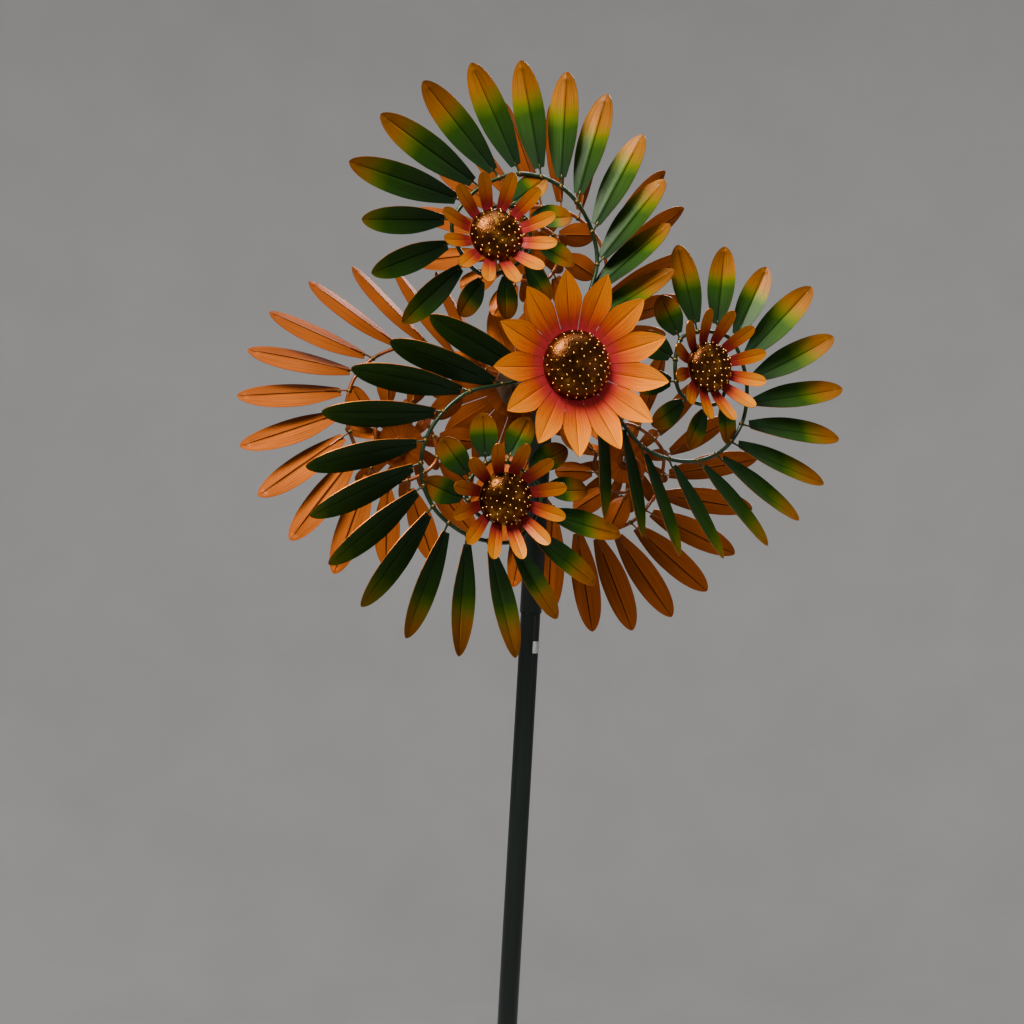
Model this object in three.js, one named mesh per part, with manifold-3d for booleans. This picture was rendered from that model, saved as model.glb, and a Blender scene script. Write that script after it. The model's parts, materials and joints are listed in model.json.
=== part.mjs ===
// Twin-rotor sunflower wind spinner on a sectional garden pole, in millimetres.
// +Z is up and the front rotor faces -Y. The origin is the centre of the step plate's underside, at ground
// level. Each rotor is three curled stem arms, brazed up from wire and pressed leaves, around a sunflower.
import * as THREE from "three";
import { mergeVertices } from "three/addons/utils/BufferGeometryUtils.js";
import Module from "manifold-3d";

const wasm = await Module();
wasm.setup();

// ---------------------------------------------------------------- driving dimensions
const GAP = 0.3; // between pieces that touch
const WELD = 1e-4; // vertices nearer than this are one vertex

// Ground stake
const PLATE = { length: 150, width: 46, thickness: 4 };
const PRONG = { radius: 4, length: 200, point: 35, inner: 24, outer: 62 };
const SOCKET = { radius: 12, height: 60, seat: 12 };
const THUMB_SCREW = { radius: 3, headRadius: 9, headLength: 6, height: 44 };

// Pole: three equal tubes below the head's long tail tube
const POLE = { radius: 9.5, wall: 1, exposed: 450, neck: 45 };
const TAIL = { radius: 10.5, wall: 0.7, drop: 230 };
const CLIP = { width: 8, height: 11.5, thickness: 1, below: 27, bearing: -65, facets: 6 };

// Head and axle; distances along the axle are measured from the pole's axis
const BARREL = { radius: 12, half: 26 };
const AXLE = { radius: 4, half: 104 };
const AXLE_SCREW = { radius: 2.4, headRadius: 4.6, headHeight: 4 };
const SPACER = { radius: 8, end: 54 };
const WASHER = { radius: 8, thickness: 1.4 };
const AXLE_NUT = { radius: 7.5, thickness: 6 };

// Rotor hub
const SLEEVE = { radius: 11, bore: 6.3, neck: 8.5, start: 56, shoulder: 88.7, end: 95 };
const BUSH = { radius: 6, length: 11 };
const DISC = { radius: 26, start: 72, thickness: 2 };

// Stem arm. Its wire is bent in a plane that leans outwards, first away from the hub and then in a curl
// around the small flower. A bend is [degrees turned about the small flower, radius from it].
const REACH = 139; // small flower from the rotor's axis
const REACH_ANGLE = 127; // bearing of the first arm's small flower
const ARM_LEAN = 3;
const ARM_RISE = 6; // wire plane above the disc's back face, on the axis
const WIRE = 2;
const FOOT = { radius: 6, reach: 17.5, bearing: 69.5 };
const STEM_BENDS = [
  [24, 107], [48, 102], [68, 95], [86, 88], [104, 78.5], [126, 64.5], [150, 51],
  [180, 42], [230, 39.5], [310, 37.5], [400, 37], [465, 36], [515, 26], [555, 14],
];
const STEM_STEPS = 36; // lengths that the bent wire is made up of
const WIRE_SIDES = 5;
const EYE = { radius: 9, thickness: 1.6, rise: 7 }; // round tab that carries the small flower
const EYE_WELD = [605, 7.5]; // where the wire ends behind the tab, as a bend

// Leaves, numbered from the hub along the wire
const LEAVES = 20;
const LAST_LONG = 11;
const LAST_MEDIUM = 14;
const LONG_LEAF = { length: 102, width: 29.5, stalk: 8.5, crease: 3 };
const MEDIUM_LEAF = { length: 76, width: 26, stalk: 8.5, crease: 2.6 };
const SHORT_LEAF = { length: 40, width: 25.5, stalk: 6, crease: 2.4 };
const RIB = 1.2; // thickness at the midrib; the edges are sharp
const STALK_HALF = 0.8;
const TIP_HALF = 1.6;
const LEAF_STATIONS = [0, 0.25, 0.55, 0.86];
const LEAF_OUTLINE = { base: 0.34, widestAt: 0.5, tipPower: 2.4, tipFullness: 0.6 };
const FIRST_LEAF_AT = 21; // along the wire from the foot
const WIDE_SPACING = 31.3;
const WIDE_SPACINGS = 4;
const CLOSE_SPACING = 20.7;

// Leaf bearings, in degrees. They turn ever faster along the stem, then step evenly round the curl.
const FAN = { second: 46.3, step: 9, quickening: 0.52 };
const CURL_FAN = { first: 243, step: 32 };
const TWIST = { root: 44, perLeaf: 1.2 };

// Flowers; a petal station is [radius, half width]
const SMALL_FLOWER = {
  petals: 12, sheet: 0.8, hole: 2.4, rim: 25, tip: 53.7, cup: 22, turn: 20, lean: 10,
  stations: [[25, 4.8], [42, 6.6]],
  dome: { radius: 24.3, height: 13, wall: 0.8, bands: 3, sides: 12 },
};
const LARGE_FLOWER = {
  petals: 13, sheet: 0.8, hole: 8.8, rim: 33.5, tip: 85.5, cup: 19, turn: 23,
  stations: [[33.5, 7.9], [58, 13.9], [73, 10.4]],
  dome: { radius: 32.5, height: 18, wall: 1, bands: 4, sides: 14 },
  boss: 11,
};
const PETAL_CURVE = 1.15; // how far towards the tips the petals do their bending
const STUD = { radius: 2, beyondNut: 1 };
const FLOWER_NUT = { radius: 4, thickness: 3.2 };

// How the rotors stand: degrees turned about the axle, anticlockwise seen from the front
const FRONT_PHASE = -1.4;
const REAR_PHASE = 84;
const ARM_TURNS = { a: 0, b: -120, c: 120 };

// Sides of the polygons that stand for circles
const HEXAGON = 6;
const SMALL_ROUND = 12;
const MEDIUM_ROUND = 16;
const LARGE_ROUND = 24;

// Heights above the ground
const socketTop = PLATE.thickness + GAP + SOCKET.height;
const seams = [0, 1, 2, 3].map((joint) => socketTop + joint * POLE.exposed);
const axleHeight = seams[3] + TAIL.drop;

// ---------------------------------------------------------------- materials
function paint(colour, roughness, metalness) {
  return new THREE.MeshStandardMaterial({ color: colour, roughness, metalness });
}
const finish = {
  pole: () => paint(0x18211f, 0.45, 0.3),
  zinc: () => paint(0xb4b8ba, 0.35, 1),
  bronze: () => paint(0xb08a4a, 0.4, 1),
  frontArm: () => paint(0x1f5a1c, 0.4, 0.4),
  rearArm: () => paint(0xa8541c, 0.4, 0.6),
  petals: () => paint(0xdc6a22, 0.4, 0.4),
  seedHead: () => paint(0x5a2f12, 0.35, 0.9),
  hub: () => paint(0x3a2c20, 0.5, 0.6),
};

// ---------------------------------------------------------------- geometry helpers
const radians = THREE.MathUtils.degToRad;

function polar(radius, degrees) {
  return new THREE.Vector2(radius * Math.cos(radians(degrees)), radius * Math.sin(radians(degrees)));
}

// Only positions, with shared vertices merged.
function welded(geometry) {
  const bare = geometry.clone();
  for (const name of Object.keys(bare.attributes)) {
    if (name !== "position") bare.deleteAttribute(name);
  }
  return mergeVertices(bare, WELD);
}

function reversed(geometry) {
  const index = geometry.index.array;
  for (let i = 0; i < index.length; i += 3) {
    [index[i], index[i + 1]] = [index[i + 1], index[i]];
  }
  return geometry;
}

function signedVolume(geometry) {
  const corner = [0, 1, 2].map(() => new THREE.Vector3());
  const index = geometry.index.array;
  let sum = 0;
  for (let i = 0; i < index.length; i += 3) {
    corner.forEach((point, k) => point.fromBufferAttribute(geometry.attributes.position, index[i + k]));
    sum += corner[0].dot(corner[1].cross(corner[2]));
  }
  return sum / 6;
}

// A closed geometry with its faces pointing out.
function closed(geometry) {
  const body = welded(geometry);
  return signedVolume(body) < 0 ? reversed(body) : body;
}

function toSolid(geometry) {
  const body = closed(geometry);
  return new wasm.Manifold(new wasm.Mesh({
    numProp: 3,
    vertProperties: new Float32Array(body.attributes.position.array),
    triVerts: new Uint32Array(body.index.array),
  }));
}

function fromSolid(solid) {
  const { vertProperties, triVerts } = solid.getMesh();
  const geometry = new THREE.BufferGeometry();
  geometry.setAttribute("position", new THREE.BufferAttribute(vertProperties, 3));
  geometry.setIndex(new THREE.BufferAttribute(triVerts, 1));
  return geometry;
}

function union(geometries) {
  const solids = geometries.map(toSolid);
  return solids.reduce((whole, next) => whole.add(next));
}

// The mirror image across the YZ plane.
function mirrored(geometry) {
  return reversed(geometry.clone().scale(-1, 1, 1));
}

// A profile of [radius, height] points turned about +Z.
function turned(profile, sides) {
  const points = profile.map(([radius, height]) => new THREE.Vector2(radius, height));
  return closed(new THREE.LatheGeometry(points, sides).rotateX(Math.PI / 2));
}

function tube(outer, inner, from, to, sides = SMALL_ROUND) {
  return turned([[inner, from], [outer, from], [outer, to], [inner, to], [inner, from]], sides);
}

function rod(radius, from, to, sides = MEDIUM_ROUND) {
  return turned([[0, from], [radius, from], [radius, to], [0, to]], sides);
}

// Rings of equally many points joined into a skin, with a fan over each end.
function lofted(rings) {
  const count = rings[0].length;
  const points = rings.flat();
  const index = [];
  for (let ring = 0; ring + 1 < rings.length; ring += 1) {
    for (let i = 0; i < count; i += 1) {
      const a = ring * count + i;
      const b = ring * count + ((i + 1) % count);
      index.push(a, b, b + count, a, b + count, a + count);
    }
  }
  const last = (rings.length - 1) * count;
  for (let i = 1; i + 1 < count; i += 1) {
    index.push(0, i + 1, i, last, last + i, last + i + 1);
  }
  return new THREE.BufferGeometry().setFromPoints(points).setIndex(index);
}

// A flat sheet of 2D points and triangles, given a thickness and lifted by a height at each point.
function thickened(points, triangles, thickness, heightAt) {
  const low = points.map((p) => new THREE.Vector3(p.x, p.y, heightAt(p)));
  const high = low.map((p) => new THREE.Vector3(p.x, p.y, p.z + thickness));
  const top = points.length;
  const index = [];
  const edges = new Map();
  for (const [a, b, c] of triangles) {
    index.push(a, c, b, top + a, top + b, top + c);
    for (const [from, to] of [[a, b], [b, c], [c, a]]) edges.set(`${from} ${to}`, [from, to]);
  }
  for (const [from, to] of edges.values()) {
    if (edges.has(`${to} ${from}`)) continue;
    index.push(from, to, top + to, from, top + to, top + from);
  }
  return closed(new THREE.BufferGeometry().setFromPoints([...low, ...high]).setIndex(index));
}

function mesh(name, geometry, material) {
  const piece = new THREE.Mesh(geometry, material);
  piece.name = name;
  return piece;
}

// ---------------------------------------------------------------- ground stake
const prongPlaces = [-PRONG.outer, -PRONG.inner, PRONG.inner, PRONG.outer];

// Pierced for the prongs, which are welded in flush with its top.
function stepPlate() {
  const x = PLATE.length / 2;
  const y = PLATE.width / 2;
  const corners = [[-x, -y], [x, -y], [x, y], [-x, y]];
  const outline = new THREE.Shape(corners.map((corner) => new THREE.Vector2(...corner)));
  outline.holes = prongPlaces.map((place) => {
    return new THREE.Path().absarc(place, 0, PRONG.radius + GAP, 0, 2 * Math.PI, true);
  });
  const options = { depth: PLATE.thickness, bevelEnabled: false, curveSegments: SMALL_ROUND };
  return closed(new THREE.ExtrudeGeometry(outline, options));
}

function prong() {
  const { radius, length, point } = PRONG;
  const top = PLATE.thickness;
  return turned([[0, -length], [radius, point - length], [radius, top], [0, top]], SMALL_ROUND);
}

function stakeSocket() {
  const body = tube(SOCKET.radius, POLE.radius + GAP, PLATE.thickness + GAP, socketTop, LARGE_ROUND);
  const hole = rod(THUMB_SCREW.radius + GAP, 0, SOCKET.radius * 2, SMALL_ROUND).rotateX(Math.PI / 2);
  hole.translate(0, 0, THUMB_SCREW.height);
  return fromSolid(toSolid(body).subtract(toSolid(hole)));
}

// Screwed in from the front until its tip is against the pole.
function thumbScrew() {
  const tip = POLE.radius + GAP;
  const neck = SOCKET.radius + GAP;
  const head = neck + THUMB_SCREW.headLength;
  const { radius, headRadius } = THUMB_SCREW;
  const shank = [[0, tip], [radius, tip], [radius, neck]];
  const knob = [[headRadius, neck], [headRadius, head], [0, head]];
  const body = turned([...shank, ...knob], SMALL_ROUND);
  return body.rotateX(Math.PI / 2).translate(0, 0, THUMB_SCREW.height);
}

// ---------------------------------------------------------------- pole
// A tube whose top is drawn down to a neck that enters the next piece up.
function poleTube(from, to, neckBore) {
  const { radius, wall, neck } = POLE;
  const neckRadius = neckBore - GAP;
  const top = to + neck;
  const shoulder = to - GAP - (radius - neckRadius);
  return turned([
    [radius - wall, from], [radius, from], [radius, shoulder],
    [neckRadius, to - GAP], [neckRadius, top], [neckRadius - wall, top],
    [neckRadius - wall, to - GAP], [radius - wall, shoulder], [radius - wall, from],
  ], MEDIUM_ROUND);
}

// The small plated spring clip that locks a pole joint, bent to the tube.
function jointClip(seam) {
  const inner = POLE.radius + GAP;
  const half = CLIP.width / 2 / inner;
  const middle = radians(CLIP.bearing);
  const outline = new THREE.Shape();
  outline.absarc(0, 0, inner + CLIP.thickness, middle - half, middle + half, false);
  outline.absarc(0, 0, inner, middle + half, middle - half, true);
  const options = { depth: CLIP.height, bevelEnabled: false, curveSegments: CLIP.facets };
  const bent = new THREE.ExtrudeGeometry(outline, options);
  return closed(bent.translate(0, 0, seam - CLIP.below - CLIP.height));
}

// ---------------------------------------------------------------- head
function alongAxle(geometry) {
  return geometry.rotateX(Math.PI / 2).translate(0, 0, axleHeight);
}

// The barrel that holds the axle, welded across the top of the tail tube.
function headTee() {
  const tailBottom = seams[3];
  const tail = tube(TAIL.radius, TAIL.radius - TAIL.wall, tailBottom, axleHeight, LARGE_ROUND);
  const barrel = alongAxle(rod(BARREL.radius, -BARREL.half, BARREL.half, LARGE_ROUND));
  const bore = alongAxle(rod(AXLE.radius + GAP, -AXLE.half, AXLE.half));
  const tapping = rod(AXLE_SCREW.radius + GAP, axleHeight, axleHeight + 2 * BARREL.radius, SMALL_ROUND);
  return fromSolid(union([tail, barrel]).subtract(toSolid(bore)).subtract(toSolid(tapping)));
}

function axleScrew() {
  const { radius, headRadius, headHeight } = AXLE_SCREW;
  const tip = axleHeight + AXLE.radius + GAP;
  const neck = axleHeight + BARREL.radius + GAP;
  const top = neck + headHeight;
  const shank = [[0, tip], [radius, tip], [radius, neck]];
  const head = [[headRadius, neck], [headRadius, top], [0, top]];
  return turned([...shank, ...head], HEXAGON);
}

// ---------------------------------------------------------------- rotor hub
function sleeve() {
  const { radius, bore, neck, start, shoulder, end } = SLEEVE;
  return turned([
    [bore, start], [radius, start], [radius, shoulder], [neck, shoulder],
    [neck, end], [bore, end], [bore, start],
  ], LARGE_ROUND);
}

// ---------------------------------------------------------------- stem arm
const flowerCentre = polar(REACH, REACH_ANGLE);
const outward = polar(1, REACH_ANGLE);
const leanSlope = Math.tan(radians(ARM_LEAN));
const armNormal = new THREE.Vector3(leanSlope * outward.x, leanSlope * outward.y, 1).normalize();

// A point of the leaning wire plane, above the disc at p, lifted by rise.
function onArm(p, rise = 0) {
  return new THREE.Vector3(p.x, p.y, DISC.start + ARM_RISE - leanSlope * p.dot(outward) + rise);
}

// From the foot on the hub disc, round the curl, and up to the back of the tab.
function stemCurve() {
  const foot = onArm(polar(FOOT.reach, FOOT.bearing));
  const bend = ([turn, radius]) => polar(radius, REACH_ANGLE + 180 + turn);
  const bends = STEM_BENDS.map((numbers) => onArm(bend(numbers).add(flowerCentre)));
  const weld = bend(EYE_WELD);
  const end = new THREE.Vector3(weld.x, weld.y, -EYE.thickness - WIRE / 2).applyMatrix4(flowerMatrix());
  return new THREE.CatmullRomCurve3([foot, ...bends, end], false, "centripetal");
}

function leafBearing(number) {
  if (number > LAST_MEDIUM) return CURL_FAN.first + CURL_FAN.step * (number - LAST_MEDIUM - 1);
  const steps = number - 2;
  return FAN.second + FAN.step * steps + FAN.quickening * steps * steps;
}

function leafPlace(number) {
  const wide = Math.min(number - 1, WIDE_SPACINGS);
  return FIRST_LEAF_AT + wide * WIDE_SPACING + (number - 1 - wide) * CLOSE_SPACING;
}

function leafKind(number) {
  if (number <= LAST_LONG) return LONG_LEAF;
  return number <= LAST_MEDIUM ? MEDIUM_LEAF : SHORT_LEAF;
}

// How far a leaf is twisted about its own length, so that the wind turns the rotor.
function leafTwist(number) {
  return TWIST.root - TWIST.perLeaf * number;
}

// Share of the full width at a share of the length, from the narrow base to the rounded tip.
function leafOutline(along) {
  const { base, widestAt, tipPower, tipFullness } = LEAF_OUTLINE;
  if (along < widestAt) return base + (1 - base) * Math.sin(Math.PI / 2 * along / widestAt);
  const beyond = (along - widestAt) / (1 - widestAt);
  return (1 - beyond ** tipPower) ** tipFullness;
}

// A creased leaf with its stalk, brazed on at the wire's point root.
function leaf(number, root) {
  const { length, width, stalk, crease } = leafKind(number);
  const flat = polar(1, leafBearing(number));
  const along = new THREE.Vector3(flat.x, flat.y, -leanSlope * flat.dot(outward)).normalize();
  const twist = radians(leafTwist(number));
  const sideways = new THREE.Vector3().crossVectors(armNormal, along);
  const normal = armNormal.clone().multiplyScalar(Math.cos(twist));
  normal.addScaledVector(sideways, Math.sin(twist));
  const across = new THREE.Vector3().crossVectors(normal, along);
  const place = (distance, offset, lift) => root.clone()
    .addScaledVector(along, distance).addScaledVector(across, offset).addScaledVector(normal, lift);
  const section = (distance, half, depth, thickness) => [
    place(distance, -half, depth), place(distance, 0, thickness / 2),
    place(distance, half, depth), place(distance, 0, -thickness / 2),
  ];
  const rings = LEAF_STATIONS.map((share) => {
    const wide = leafOutline(share);
    return section(stalk + share * length, wide * width / 2, wide * crease, RIB);
  });
  const start = section(0, STALK_HALF, 0, 2 * STALK_HALF);
  const tip = section(stalk + length, TIP_HALF, 0, RIB / 2);
  return lofted([start, ...rings, tip]);
}

// The round tab at the heart of the curl, square to the small flower.
function eye() {
  return tube(EYE.radius, SMALL_FLOWER.hole, -EYE.thickness, 0).applyMatrix4(flowerMatrix());
}

// The small flower stands at the heart of the curl and leans outwards.
function flowerMatrix() {
  const axis = new THREE.Vector3(-outward.y, outward.x, 0);
  const rotation = new THREE.Quaternion().setFromAxisAngle(axis, radians(SMALL_FLOWER.lean));
  return new THREE.Matrix4().compose(onArm(flowerCentre, EYE.rise), rotation, new THREE.Vector3(1, 1, 1));
}

function stemArm() {
  const curve = stemCurve();
  const ring = Array.from({ length: WIRE_SIDES }, (_, i) => polar(WIRE, i * 360 / WIRE_SIDES));
  const section = new THREE.Shape(ring);
  const wire = new THREE.ExtrudeGeometry(section, { steps: STEM_STEPS, extrudePath: curve });
  const foot = rod(FOOT.radius, DISC.start + DISC.thickness + GAP, DISC.start + ARM_RISE, SMALL_ROUND);
  const footPlace = polar(FOOT.reach, FOOT.bearing);
  foot.translate(footPlace.x, footPlace.y, 0);
  const wireLength = curve.getLength();
  const leaves = Array.from({ length: LEAVES }, (_, i) => {
    const root = curve.getPointAt(leafPlace(i + 1) / wireLength);
    return leaf(i + 1, root);
  });
  return fromSolid(union([wire, foot, eye(), ...leaves]));
}

// ---------------------------------------------------------------- flowers
// Petals cut from one sheet, in one piece with the disc they spring from, and cupped forwards.
function petalSheet({ petals, sheet, hole, rim, tip, cup, stations }) {
  const points = [];
  const triangles = [];
  const stride = 2 + 2 * stations.length;
  for (let petal = 0; petal < petals; petal += 1) {
    const bearing = petal * 360 / petals;
    const along = polar(1, bearing);
    const across = polar(1, bearing + 90);
    const at = (radius, offset) => along.clone().multiplyScalar(radius).addScaledVector(across, offset);
    points.push(polar(hole, bearing), at(tip, 0));
    for (const [radius, half] of stations) points.push(at(radius, -half), at(radius, half));
    const first = petal * stride;
    const next = ((petal + 1) % petals) * stride;
    const left = first + 2;
    triangles.push([first, left, left + 1], [first, left + 1, next], [next, left + 1, next + 2]);
    for (let row = left; row + 2 < first + stride; row += 2) {
      triangles.push([row, row + 2, row + 1], [row + 1, row + 2, row + 3]);
    }
    const last = first + stride - 2;
    triangles.push([last, first + 1, last + 1]);
  }
  const lift = (p) => cup * Math.max(0, (p.length() - rim - GAP) / (tip - rim)) ** PETAL_CURVE;
  return thickened(points, triangles, sheet, lift);
}

// Points down the curve of a dome, between two angles from its crown.
function domeArc(radius, height, bands, from, to) {
  return Array.from({ length: bands + 1 }, (_, i) => {
    const angle = from + (to - from) * i / bands;
    return [radius * Math.sin(angle), height * Math.cos(angle)];
  });
}

// A pressed seed head, open at the back, with the stud behind it that holds the flower together.
function smallSeedHead() {
  const { radius, height, wall, bands, sides } = SMALL_FLOWER.dome;
  const base = GAP + SMALL_FLOWER.sheet + GAP;
  const inner = radius - wall;
  const studTop = Math.asin(STUD.radius / inner);
  const outside = domeArc(radius, height, bands, 0, Math.PI / 2);
  const inside = domeArc(inner, height - wall, bands - 1, Math.PI / 2, studTop);
  const studEnd = -base - EYE.thickness - GAP - FLOWER_NUT.thickness - STUD.beyondNut;
  const profile = [...outside, ...inside, [STUD.radius, studEnd], [0, studEnd]];
  return turned(profile.map(([r, z]) => [r, z + base]), sides);
}

// The large one has a hollow boss that fits over the end of the hub.
function largeSeedHead() {
  const { radius, height, wall, bands, sides } = LARGE_FLOWER.dome;
  const base = SLEEVE.shoulder + GAP + LARGE_FLOWER.sheet + GAP;
  const inner = radius - wall;
  const { boss, hole } = LARGE_FLOWER;
  const outside = domeArc(radius, height, bands, 0, Math.PI / 2);
  const inside = domeArc(inner, height - wall, bands - 1, Math.PI / 2, Math.asin(boss / inner));
  const crown = height - 2 * wall;
  const profile = [...outside, ...inside, [boss, 0], [hole, 0], [hole, crown], [0, crown]];
  return turned(profile.map(([r, z]) => [r, z + base]), sides);
}

// A hexagonal nut; its bore is six-sided too, and clears the round thread inside it.
function nut(radius, thread, from, thickness) {
  return tube(radius, (thread + GAP) / Math.cos(Math.PI / HEXAGON), from, from + thickness, HEXAGON);
}

// ---------------------------------------------------------------- assembly
const group = new THREE.Group();

function add(parent, name, geometry, material) {
  parent.add(mesh(name, geometry, material));
}

add(group, "step_plate", stepPlate(), finish.pole());
prongPlaces.forEach((place, i) => {
  const piece = mesh(`prong_${i + 1}`, prong(), finish.pole());
  piece.position.x = place;
  group.add(piece);
});
add(group, "stake_socket", stakeSocket(), finish.pole());
add(group, "stake_thumb_screw", thumbScrew(), finish.zinc());

const lowerEnd = PLATE.thickness + GAP + SOCKET.seat;
const poleBore = POLE.radius - POLE.wall;
const tailBore = TAIL.radius - TAIL.wall;
add(group, "pole_lower", poleTube(lowerEnd, seams[1], poleBore), finish.pole());
add(group, "pole_middle", poleTube(seams[1], seams[2], poleBore), finish.pole());
add(group, "pole_upper", poleTube(seams[2], seams[3], tailBore), finish.pole());
["lower", "middle", "upper"].forEach((which, i) => {
  add(group, `joint_clip_${which}`, jointClip(seams[i + 1]), finish.zinc());
});

add(group, "head_tee", headTee(), finish.pole());
add(group, "axle", alongAxle(rod(AXLE.radius, -AXLE.half, AXLE.half)), finish.zinc());
add(group, "axle_screw", axleScrew(), finish.zinc());

const armGeometry = stemArm();

// One rotor, its local +Z pointing away from the pole and hand -1 for the mirror image.
function rotor(prefix, hand, phase, armFinish) {
  const made = new THREE.Group();
  const turning = new THREE.Group();
  const sided = (geometry) => (hand < 0 ? mirrored(geometry) : geometry);
  const axleBore = AXLE.radius + GAP;
  const bushEnd = SLEEVE.end - BUSH.length;
  const washerStart = SLEEVE.end + GAP;
  const nutStart = washerStart + WASHER.thickness + GAP;
  const petalStart = SLEEVE.shoulder + GAP;
  const discEnd = DISC.start + DISC.thickness;
  add(made, `${prefix}_spacer`,
    tube(SPACER.radius, axleBore, BARREL.half + GAP, SPACER.end), finish.zinc());
  add(made, `${prefix}_inner_washer`,
    tube(WASHER.radius, axleBore, SPACER.end + GAP, SLEEVE.start - GAP), finish.zinc());
  add(made, `${prefix}_outer_washer`,
    tube(WASHER.radius, axleBore, washerStart, washerStart + WASHER.thickness), finish.zinc());
  add(made, `${prefix}_axle_nut`,
    nut(AXLE_NUT.radius, AXLE.radius, nutStart, AXLE_NUT.thickness), finish.zinc());
  add(turning, `${prefix}_hub_sleeve`, sleeve(), finish.hub());
  add(turning, `${prefix}_inner_bush`,
    tube(BUSH.radius, axleBore, SLEEVE.start, SLEEVE.start + BUSH.length), finish.bronze());
  add(turning, `${prefix}_outer_bush`, tube(BUSH.radius, axleBore, bushEnd, SLEEVE.end), finish.bronze());
  const disc = tube(DISC.radius, SLEEVE.radius + GAP, DISC.start, discEnd, LARGE_ROUND);
  add(turning, `${prefix}_hub_disc`, disc, finish.hub());

  const largePetals = mesh(`${prefix}_centre_petals`, sided(petalSheet(LARGE_FLOWER)), finish.petals());
  largePetals.rotation.z = hand * radians(LARGE_FLOWER.turn);
  largePetals.position.z = petalStart;
  turning.add(largePetals);
  add(turning, `${prefix}_centre_seed_head`, largeSeedHead(), finish.seedHead());

  const side = new THREE.Matrix4().makeScale(hand, 1, 1);
  const flowerPlace = side.clone().multiply(flowerMatrix()).multiply(side);
  for (const [name, turn] of Object.entries(ARM_TURNS)) {
    const arm = new THREE.Group();
    arm.rotation.z = hand * radians(turn);
    add(arm, `${prefix}_stem_arm_${name}`, sided(armGeometry), armFinish());
    const flower = new THREE.Group();
    flowerPlace.decompose(flower.position, flower.quaternion, flower.scale);
    const petals = mesh(`${prefix}_petals_${name}`, sided(petalSheet(SMALL_FLOWER)), finish.petals());
    petals.rotation.z = hand * radians(SMALL_FLOWER.turn);
    petals.position.z = GAP;
    flower.add(petals);
    add(flower, `${prefix}_seed_head_${name}`, smallSeedHead(), finish.seedHead());
    const nutPlace = -EYE.thickness - GAP - FLOWER_NUT.thickness;
    add(flower, `${prefix}_flower_nut_${name}`,
      nut(FLOWER_NUT.radius, STUD.radius, nutPlace, FLOWER_NUT.thickness), finish.zinc());
    arm.add(flower);
    turning.add(arm);
  }
  turning.rotation.z = hand * radians(phase);
  made.add(turning);
  made.rotation.x = Math.PI / 2;
  const facing = new THREE.Group();
  facing.rotation.z = hand > 0 ? 0 : Math.PI;
  facing.position.z = axleHeight;
  facing.add(made);
  return facing;
}

group.add(rotor("front", 1, FRONT_PHASE, finish.frontArm));
group.add(rotor("rear", -1, REAR_PHASE, finish.rearArm));

export default group;
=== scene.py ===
import json
import random
from math import atan2, copysign, cos, degrees, exp, pi, radians, sin, sqrt, tan

import bmesh
import bpy
from mathutils import Matrix, Vector


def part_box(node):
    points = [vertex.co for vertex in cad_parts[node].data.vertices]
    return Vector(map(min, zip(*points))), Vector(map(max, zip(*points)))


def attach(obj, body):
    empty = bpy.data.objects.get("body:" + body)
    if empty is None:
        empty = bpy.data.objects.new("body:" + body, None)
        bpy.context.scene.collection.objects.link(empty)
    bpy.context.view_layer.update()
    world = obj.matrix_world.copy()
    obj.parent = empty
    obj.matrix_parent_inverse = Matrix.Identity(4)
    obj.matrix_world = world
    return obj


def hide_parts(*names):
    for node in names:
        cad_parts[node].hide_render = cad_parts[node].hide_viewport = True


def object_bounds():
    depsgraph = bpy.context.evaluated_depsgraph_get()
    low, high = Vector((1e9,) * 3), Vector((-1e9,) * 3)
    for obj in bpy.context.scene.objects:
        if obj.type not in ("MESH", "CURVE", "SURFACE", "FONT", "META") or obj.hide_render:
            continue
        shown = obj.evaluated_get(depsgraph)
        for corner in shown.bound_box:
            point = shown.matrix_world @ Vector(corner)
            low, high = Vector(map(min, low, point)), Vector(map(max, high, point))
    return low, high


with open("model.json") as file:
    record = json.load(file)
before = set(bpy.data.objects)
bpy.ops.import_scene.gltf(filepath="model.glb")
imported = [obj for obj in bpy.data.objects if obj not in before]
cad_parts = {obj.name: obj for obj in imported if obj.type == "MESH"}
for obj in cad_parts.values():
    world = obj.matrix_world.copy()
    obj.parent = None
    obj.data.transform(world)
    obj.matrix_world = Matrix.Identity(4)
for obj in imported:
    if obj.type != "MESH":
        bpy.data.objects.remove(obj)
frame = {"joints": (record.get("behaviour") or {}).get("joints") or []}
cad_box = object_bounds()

# Looks for the twin-rotor sunflower wind spinner. Shapes are in millimetres until a shell becomes a mesh;
# materials and lights are in metres. A rotor is built in its own frame, x to the right and y up as seen
# from the front, and z away from the pole; seat() takes that to the part's frame.

MM = 0.001
AXLE_HEIGHT = frame["joints"][0]["pos_m"][2] / MM
FRONT, REAR = "front", "rear"
SIDES = {FRONT: -1, REAR: 1}  # which way along Y a rotor faces
BODIES = {FRONT: "front_rotor", REAR: "rear_rotor"}
ARM_TURNS = {"a": 0, "b": -120, "c": 120}
PHASES = {FRONT: -1.4, REAR: 84}  # degrees that each rotor is turned at rest

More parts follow.
